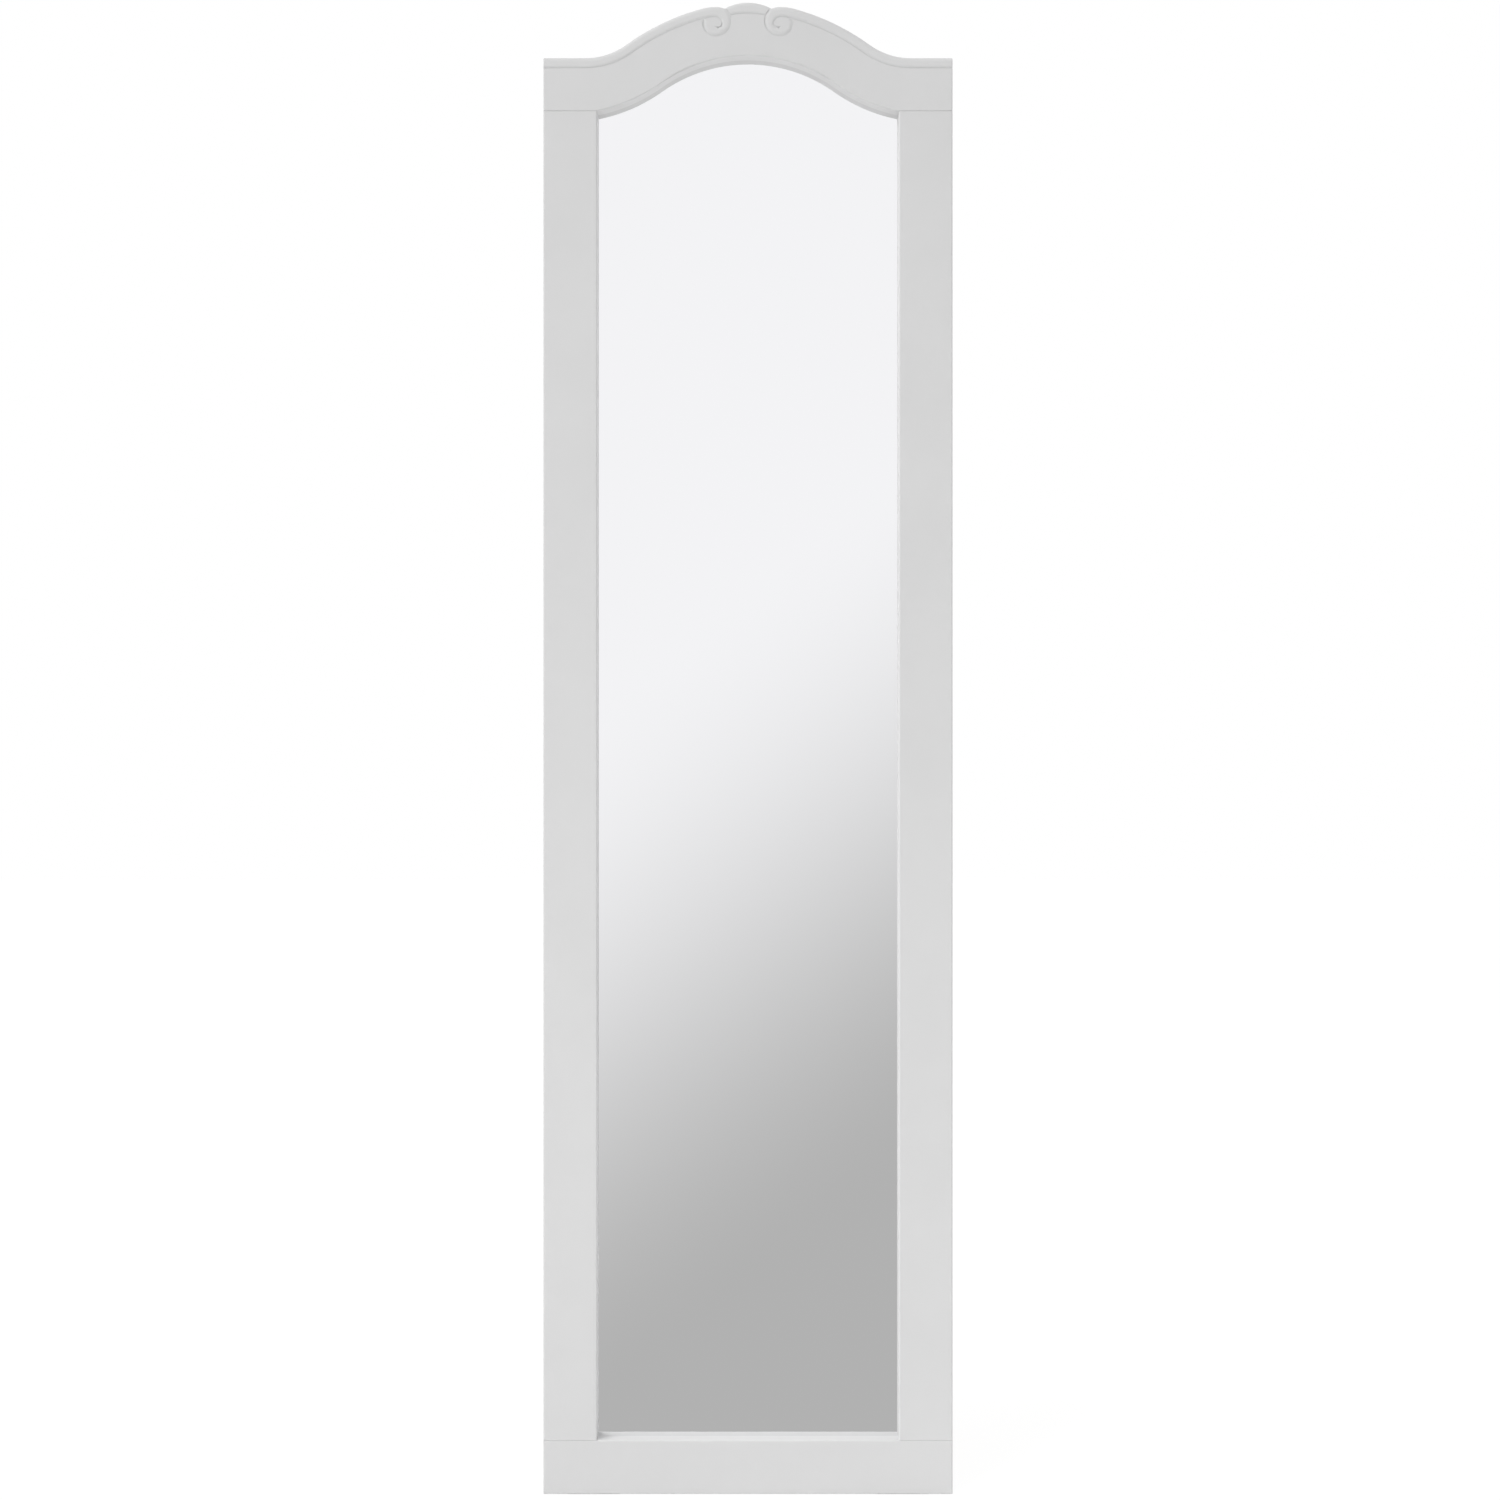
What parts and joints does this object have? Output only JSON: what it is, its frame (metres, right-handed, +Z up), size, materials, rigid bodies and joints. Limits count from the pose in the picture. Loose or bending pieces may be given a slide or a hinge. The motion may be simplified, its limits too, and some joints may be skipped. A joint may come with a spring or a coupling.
{
  "type": "leaner mirror",
  "caption": "Full-length leaner mirror in a painted frame with an arched, scroll-carved top rail, a held-in backboard and swinging hanger rings.",
  "frame": {"origin": "on the floor, under the middle of the whole mirror's width and depth, with the mirror upright", "axes": "+X to the right of someone facing the mirror, +Y towards the wall, +Z up"},
  "size_m": [0.45, 0.028, 1.641],
  "materials": {
    "frame_paint": "satin off-white paint on fibreboard",
    "mirror": "silvered glass",
    "dowel_wood": "plain beech",
    "packing_card": "plain card",
    "backboard": "brown hardboard",
    "zinc_steel": "zinc plate",
    "nickel_wire": "nickel plate",
    "black_rubber": "matt",
    "clear_rubber": "milky soft rubber"
  },
  "bodies": {
    "frame": {"top_rail": "frame_paint", "left_stile": "frame_paint", "right_stile": "frame_paint", "bottom_rail": "frame_paint", "corner_dowels": "dowel_wood", "mirror_glass": "mirror", "packing_sheet": "packing_card", "backboard": "backboard", "setting_blocks": "black_rubber", "side_shims": "black_rubber", "turn_button_screws": "zinc_steel", "left_strap_plate": "zinc_steel", "right_strap_plate": "zinc_steel", "strap_screws": "zinc_steel", "wall_bumpers": "clear_rubber", "foot_pads": "clear_rubber"},
    "turn_button_left_1": {"turn_button_left_1": "zinc_steel"},
    "turn_button_left_2": {"turn_button_left_2": "zinc_steel"},
    "turn_button_left_3": {"turn_button_left_3": "zinc_steel"},
    "turn_button_left_4": {"turn_button_left_4": "zinc_steel"},
    "turn_button_right_1": {"turn_button_right_1": "zinc_steel"},
    "turn_button_right_2": {"turn_button_right_2": "zinc_steel"},
    "turn_button_right_3": {"turn_button_right_3": "zinc_steel"},
    "turn_button_right_4": {"turn_button_right_4": "zinc_steel"},
    "turn_button_top": {"turn_button_top": "zinc_steel"},
    "turn_button_bottom": {"turn_button_bottom": "zinc_steel"},
    "left_d_ring": {"left_d_ring": "nickel_wire"},
    "right_d_ring": {"right_d_ring": "nickel_wire"}
  },
  "joints": [
    {"name": "turn_button_left_1_swivel", "type": "hinge", "parent": "frame", "child": "turn_button_left_1", "pos_m": [-0.182, 0.008, 0.24263], "axis": [0, 1, 0], "continuous": true},
    {"name": "turn_button_left_2_swivel", "type": "hinge", "parent": "frame", "child": "turn_button_left_2", "pos_m": [-0.182, 0.008, 0.60788], "axis": [0, 1, 0], "continuous": true},
    {"name": "turn_button_left_3_swivel", "type": "hinge", "parent": "frame", "child": "turn_button_left_3", "pos_m": [-0.182, 0.008, 0.97313], "axis": [0, 1, 0], "continuous": true},
    {"name": "turn_button_left_4_swivel", "type": "hinge", "parent": "frame", "child": "turn_button_left_4", "pos_m": [-0.182, 0.008, 1.33838], "axis": [0, 1, 0], "continuous": true},
    {"name": "turn_button_right_1_swivel", "type": "hinge", "parent": "frame", "child": "turn_button_right_1", "pos_m": [0.182, 0.008, 0.24263], "axis": [0, 1, 0], "continuous": true},
    {"name": "turn_button_right_2_swivel", "type": "hinge", "parent": "frame", "child": "turn_button_right_2", "pos_m": [0.182, 0.008, 0.60788], "axis": [0, 1, 0], "continuous": true},
    {"name": "turn_button_right_3_swivel", "type": "hinge", "parent": "frame", "child": "turn_button_right_3", "pos_m": [0.182, 0.008, 0.97313], "axis": [0, 1, 0], "continuous": true},
    {"name": "turn_button_right_4_swivel", "type": "hinge", "parent": "frame", "child": "turn_button_right_4", "pos_m": [0.182, 0.008, 1.33838], "axis": [0, 1, 0], "continuous": true},
    {"name": "turn_button_top_swivel", "type": "hinge", "parent": "frame", "child": "turn_button_top", "pos_m": [0, 0.008, 1.599], "axis": [0, 1, 0], "continuous": true},
    {"name": "turn_button_bottom_swivel", "type": "hinge", "parent": "frame", "child": "turn_button_bottom", "pos_m": [0, 0.008, 0.044], "axis": [0, 1, 0], "continuous": true},
    {"name": "left_d_ring_swing", "type": "hinge", "parent": "frame", "child": "left_d_ring", "pos_m": [-0.1955, 0.01065, 1.451], "axis": [1, 0, 0], "range_deg": [0, 180]},
    {"name": "right_d_ring_swing", "type": "hinge", "parent": "frame", "child": "right_d_ring", "pos_m": [0.1955, 0.01065, 1.451], "axis": [1, 0, 0], "range_deg": [0, 180]}
  ]
}
